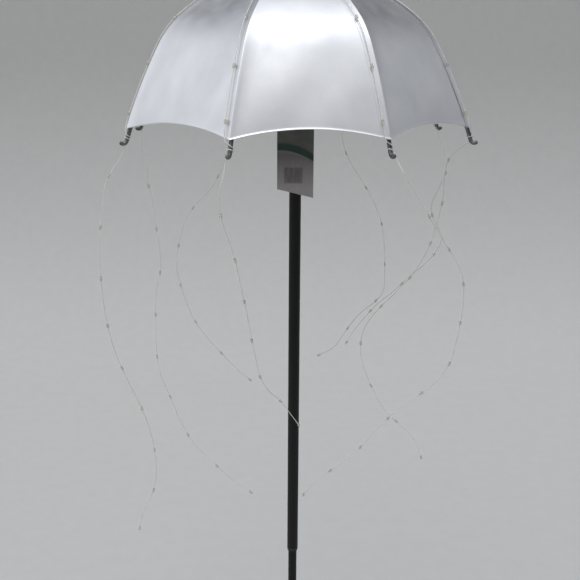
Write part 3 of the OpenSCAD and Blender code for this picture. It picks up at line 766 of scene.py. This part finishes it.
def goreColumns():
    # places across a gore as shares of its rim width: the flange, the ridge, then the gore itself
    w = gores["flange"]
    flange = np.linspace(-w, -0.0014, 6)
    ridge = np.linspace(-0.001, 0.001, 7)
    seam = np.concatenate([flange, ridge, [0.0016, 0.003, 0.005]]) / (2 * halfRim)
    last = 1 - gores["gap"] / (2 * halfRim)
    share = np.linspace(0.02, 1, gores["columns"])[1:]
    return seam, np.concatenate([seam, seam[-1] + (last - seam[-1]) * share])


def rimStart(seam, cols):
    # how far up the rib line the arched rim cuts each column, found in a few rounds
    # height = arch - (arch radius - root(arch radius squared - y squared)), with y from the gore's middle
    rim = np.zeros_like(cols)
    for step in range(8):
        width = 2 * np.interp(rim, profileAt, profile[:, 0]) * math.sin(halfGore)
        side = np.where(cols < seam[-1] * 1.001, cols * 2 * halfRim, cols * width)
        y = width / 2 - np.abs(side)
        height = canopy["rimArch"] - archR + np.sqrt(archR**2 - y**2)
        rim = np.interp(height, profile[:, 1], profileAt)
    return rim


def goreLift(i, s, r, width, at, depth):
    # lift off the rib line = flange by the seam + hem * exp(-(depth / hem depth) squared) + ripples
    onSeam = (1 - easeStep(s, *gores["settle"])) * easeStep(r, *gores["crownFlat"])
    lift = gores["seat"] + (gores["flangeLift"] - gores["seat"]) * onSeam
    lift = np.where(s > gores["settle"][1], 0, lift)
    lift = lift + gores["hem"] * np.exp(-((depth / gores["hemDepth"]) ** 2))
    fromSeams = np.clip(np.minimum(s, width - s) / gores["waveFrom"], 0, 1)
    ripple = np.sin(s / 0.021 + 1.7 * i) * np.sin(at / 0.034 + 2.3 * i)
    ripple = ripple + 0.6 * np.sin(s / 0.011 - at / 0.019 + i)
    return lift + gores["wave"] * easeStep(fromSeams, 0, 1) * ripple


def buildGore(i):
    seam, cols = goreColumns()
    rim = rimStart(seam, cols)
    edge = np.array(gores["rimEdges"])
    t = np.linspace(0, 1, gores["rows"])[1:, None]
    at = np.vstack([rim + edge[:, None], rim + edge[-1] + (profileAt[-1] - rim - edge[-1]) * t])
    depth = at - rim
    r, z, slope = (np.interp(at, profileAt, a) for a in (profile[:, 0], profile[:, 1], slopes))
    width = 2 * r * math.sin(halfGore)
    # the strip by the seam keeps its width and the rest narrows with the gore
    strip = 2 * halfRim * cols[None, :] * np.minimum(1, width / (3 * gores["flange"]))
    s = np.where(cols[None, :] < seam[-1] * 1.001, strip, cols[None, :] * width)
    lift = goreLift(i, s, r, width, at, depth)
    # this gore's and the last one's directions meet at the seam with a small round:
    # own and before = (s +- root(s squared + ridge squared)) / 2
    root = np.sqrt(s**2 + gores["ridge"] ** 2) - gores["ridge"] * np.exp(-np.abs(s) / gores["ridgeReach"])
    root = np.maximum(root, np.abs(s))
    own, before = (s + root) / 2, (s - root) / 2
    a = ribAzimuth(i)
    tilt = np.radians(slope)
    r, z = r + lift * np.sin(tilt), z + lift * np.cos(tilt)
    x = r * math.cos(a) - own * math.sin(a + halfGore) - before * math.sin(a - halfGore)
    y = r * math.sin(a) + own * math.cos(a + halfGore) + before * math.cos(a - halfGore)
    outer = np.stack([x, y, z + canopy["rimHeight"]], -1)
    thicker = 1 + gores["hemThicker"] * np.exp(-((depth / gores["hemDepth"]) ** 2))
    inner = innerSkin(outer, gores["thick"] * thicker[..., None])
    skins = np.stack([outer, inner])
    obj = meshPiece(f"gorePanel{i}", skins, shellFaces(*outer.shape[:2]), satin, sharp=50)
    keep(obj, "canopy", "canopy_metal", f"gore_{i}")


for i in ribNumbers:
    buildGore(i)
print("gores")

# hang tag: a thin bowed card round its hole, with a plain generic print and painted shade from the canopy
tag = {
    "width": 0.038,
    "height": 0.092,
    "slant": 0.009,
    "corner": 0.003,
    "thick": 0.0005,
    "holeRadius": 0.002,
    "bow": 0.0022,
    "curl": 0.0012,
    "ring": (-0.0114, canopy["rimHeight"] + 0.016),  # the ring's middle, as y and z
    "hole": -0.0052,          # heights from the ring's middle
    "top": -0.0015,
}
tagArt = {  # heights from the ring's middle
    "lean": 0.30,             # fall of the band across the card
    "arch": 9.0,              # its rise towards both sides, per metre
    "shadedPaper": (-0.0465, -0.0485),
    "band": (-0.0465, -0.0455, -0.0400, -0.0375),
    "bandEdge": (-0.0487, -0.0477, -0.0468, -0.0462),
    # painted shade: between these heights the paper goes from shaded dark above to pale below
    "shade": (-0.050, -0.084),
    "block": (-0.079, -0.077, -0.0625, -0.0605),
    "blockMiddle": -0.002,
    "blockSides": (0.0105, 0.0085),
    "linesBelow": (-0.0535, -0.054),
    "linesSides": (0.0165, 0.016),
    "foot": (-0.0865, -0.0875),
    "footLean": 0.24,
    "head": (-0.0085, -0.0078),
}


def tagPrintAndShade():
    # a card whose dark upper part is print and painted shade, with a bowed green band, paler paper under it
    # that is painted darker towards the top as shade from the canopy, a block of short grey lines and a plain
    # head
    m = newMaterial("tagPrintAndShade", (0.2, 0.2, 0.18), 0.42)
    x, y, z = objectXyz(m)
    z = maths(m, "SUBTRACT", z, tag["ring"][1])
    grain = noise(m, 900, 3)
    # the card's dark upper colour is its print darkened by painted shade from the canopy
    colour = tinted(m, noise(m, 90, 4), [(0.3, (0.085, 0.086, 0.074)), (0.7, (0.12, 0.12, 0.105))])
    arch = maths(m, "MULTIPLY", maths(m, "MULTIPLY", x, x), tagArt["arch"])
    line = maths(m, "ADD", maths(m, "ADD", z, maths(m, "MULTIPLY", x, tagArt["lean"])), arch)
    # painted shade: the paper is painted darker towards the top, where the canopy shades it, and paler below
    shadedPaper = mixed(m, fade(m, z, *tagArt["shade"]), (0.155, 0.137, 0.138), (0.40, 0.375, 0.37))
    colour = mixed(m, fade(m, line, *tagArt["shadedPaper"]), colour, shadedPaper)
    colour = mixed(m, between(m, line, *tagArt["band"]), colour, (0.014, 0.040, 0.026))
    colour = mixed(m, between(m, line, *tagArt["bandEdge"]), colour, (0.155, 0.185, 0.165))
    fromBlock = maths(m, "ABSOLUTE", maths(m, "SUBTRACT", x, tagArt["blockMiddle"]))
    block = maths(m, "MULTIPLY", fade(m, fromBlock, *tagArt["blockSides"]), between(m, z, *tagArt["block"]))
    colour = mixed(m, maths(m, "MULTIPLY", block, 0.7), colour, (0.085, 0.072, 0.075))
    rows = maths(m, "LESS_THAN", maths(m, "FRACT", maths(m, "MULTIPLY", z, 520.0)), 0.35)
    dashes = maths(m, "GREATER_THAN", noise(m, 420, 1, (1, 1, 0.25)), 0.5)
    lines = maths(m, "MULTIPLY", maths(m, "MULTIPLY", rows, dashes), fade(m, z, *tagArt["linesBelow"]))
    inset = fade(m, maths(m, "ABSOLUTE", x), *tagArt["linesSides"])
    lines = maths(m, "MULTIPLY", maths(m, "MULTIPLY", lines, inset), 0.6)
    colour = mixed(m, lines, colour, (0.30, 0.28, 0.27))
    footLine = maths(m, "ADD", z, maths(m, "MULTIPLY", x, tagArt["footLean"]))
    colour = mixed(m, fade(m, footLine, *tagArt["foot"]), colour, (0.38, 0.36, 0.355))
    colour = mixed(m, fade(m, z, *tagArt["head"]), colour, (0.03, 0.03, 0.028))
    colourBy(m, colour)
    roughBy(m, mapped(m, grain, 0.3, 0.7, 0.34, 0.5))
    bumps(m, (grain, 0.15, 0.00006))
    return m


def buildTag(look):
    # rings from the hole's circle out to the card's outline: circle + t * (outline - circle)
    # the card bows by sin(pi * drop) down its length and curls back by the square of x
    half, top, hole = tag["width"] / 2, tag["top"], tag["hole"]
    bottom = top - tag["height"]
    corners = np.array(
        [
            [-half + tag["corner"], top],
            [-half, top - tag["corner"]],
            [-half, bottom + tag["slant"]],
            [half, bottom],
            [half, top - tag["corner"]],
            [half - tag["corner"], top],
        ]
    )
    sides = []
    for a, b, n in zip(corners, np.roll(corners, -1, 0), [6, 60, 44, 66, 6, 40]):
        sides.append(a + np.linspace(0, 1, n, endpoint=False)[:, None] * (b - a))
    outline = np.vstack(sides)
    ray = outline - (0, hole)
    circle = tag["holeRadius"] * ray / np.linalg.norm(ray, axis=1, keepdims=True) + (0, hole)
    t = np.linspace(0, 1, 22)[:, None, None] ** 1.3
    flat = circle + t * (outline - circle)
    x, z = flat[..., 0], flat[..., 1]
    drop = np.clip((hole - z) / tag["height"], 0, 1)
    curl = tag["curl"] * (x / half) ** 2 * np.minimum(1, 3 * drop)
    bow = tag["bow"] * np.sin(np.pi * drop) * 0.5
    front = np.stack([x, tag["ring"][0] - curl - bow - tag["thick"] / 2, z + tag["ring"][1]], -1)
    back = front + (0, tag["thick"], 0)
    rows, cols = x.shape
    count = rows * cols
    face = gridFaces(rows, cols, wrapCols=True)
    ring = np.arange(cols)
    after = np.roll(ring, -1)
    last = (rows - 1) * cols
    inner = np.stack([ring, ring + count, after + count, after], -1)
    outer = np.stack([after + last, after + last + count, ring + last + count, ring + last], -1)
    faces = np.concatenate([face, face[:, ::-1] + count, inner, outer])
    obj = meshPiece("hangTag", np.stack([front, back]), faces, look, sharp=40)
    keep(obj, "tag", "tag_board", "tag_card")


buildTag(tagPrintAndShade())
print("tag")

# studio: one curved pale sheet for floor and backdrop, a large soft light and soft light all round
studio = {
    "floor": -0.20,
    "front": -4.0,
    "back": 2.6,
    "bend": 1.0,              # radius between floor and back
    "top": 1.9,
    "halfWidth": 5,
    "grey": (0.62, 0.62, 0.61),
    "air": 0.44,              # grey past the sheet
    "airLight": 0.06,
    "airTint": (0.95, 0.97, 1.0, 1),
}
keyLight = {
    "place": (-0.5, -1.5, 3.2),
    "aim": (0, 0, 0.85),
    "size": 1.6,
    "power": 14,
    "colour": (1.0, 0.99, 0.97),
}
lobes = [  # centre, strength and sharpness of each soft light: above, front, left, right and back
    ((0.0, -0.05, 1.0), 2.7, 15.0),
    ((0.0, -0.77, 0.64), 0.5, 4.5),
    ((-0.82, -0.12, 0.5), 1.25, 7.0),
    ((0.88, 0.2, 0.43), 0.63, 12.0),
    ((0.0, 0.94, 0.34), 0.08, 3.0),
]


def buildSweep():
    # a floor, a quarter circle (back - r + r * sin a, r - r * cos a) and an upright back, level across
    m = newMaterial("studioPaper", studio["grey"], 0.85)
    shade = tuple(0.97 * c for c in studio["grey"])
    colourBy(m, tinted(m, noise(m, 30, 3), [(0.3, shade), (0.7, studio["grey"])]))
    r, a = studio["bend"], np.linspace(0, np.pi / 2, 20)
    front, back, top = studio["front"], studio["back"], studio["top"]
    y = np.concatenate([[front, front / 2, 0.0], back - r + r * np.sin(a), [back] * 2])
    z = np.concatenate([[0.0] * 3, r - r * np.cos(a), [1.3, top]]) + studio["floor"]
    x = np.linspace(-studio["halfWidth"], studio["halfWidth"], 5)
    grid = np.stack([x[None, :] + 0 * y[:, None], y[:, None] + 0 * x, z[:, None] + 0 * x], -1)
    mesh = bpy.data.meshes.new("sweep")
    mesh.from_pydata(grid.reshape(-1, 3).tolist(), [], gridFaces(len(y), len(x)).tolist())
    mesh.polygons.foreach_set("use_smooth", np.full(len(mesh.polygons), True))
    mesh.materials.append(m)
    obj = bpy.data.objects.new("sweep", mesh)
    bpy.context.scene.collection.objects.link(obj)


def buildKey():
    light = bpy.data.lights.new("key", "AREA")
    light.size = keyLight["size"]
    light.energy = keyLight["power"]
    light.color = keyLight["colour"]
    obj = bpy.data.objects.new("key", light)
    obj.location = keyLight["place"]
    ahead = Vector(keyLight["aim"]) - Vector(keyLight["place"])
    obj.rotation_euler = ahead.to_track_quat("-Z", "Y").to_euler()
    bpy.context.scene.collection.objects.link(obj)


def buildWorld():
    # light = airLight + the sum over the lobes of strength * exp(sharpness * (direction . centre - 1))
    world = bpy.data.worlds.new("studioAir")
    world.use_nodes = True
    back = world.node_tree.nodes["Background"]
    back.inputs["Color"].default_value = studio["airTint"]
    direction = addNode(world, "ShaderNodeTexCoord").outputs["Generated"]
    total = studio["airLight"]
    for centre, strength, sharpness in lobes:
        unit = Vector(centre).normalized()
        dot = addNode(world, "ShaderNodeVectorMath", {1: unit}, operation="DOT_PRODUCT")
        link(world, direction, dot.inputs[0])
        off = maths(world, "SUBTRACT", dot.outputs["Value"], 1.0)
        glow = maths(world, "EXPONENT", maths(world, "MULTIPLY", off, sharpness))
        total = maths(world, "ADD", maths(world, "MULTIPLY", glow, strength), total)
    seen = addNode(world, "ShaderNodeLightPath")
    plain = addNode(world, "ShaderNodeMix", {3: studio["air"]})
    link(world, seen.outputs["Is Camera Ray"], plain.inputs[0])
    link(world, total, plain.inputs[2])
    link(world, plain.outputs[0], back.inputs["Strength"])
    bpy.context.scene.world = world


buildSweep()
buildKey()
buildWorld()
bpy.context.scene.view_settings.view_transform = "Standard"
print("stage")
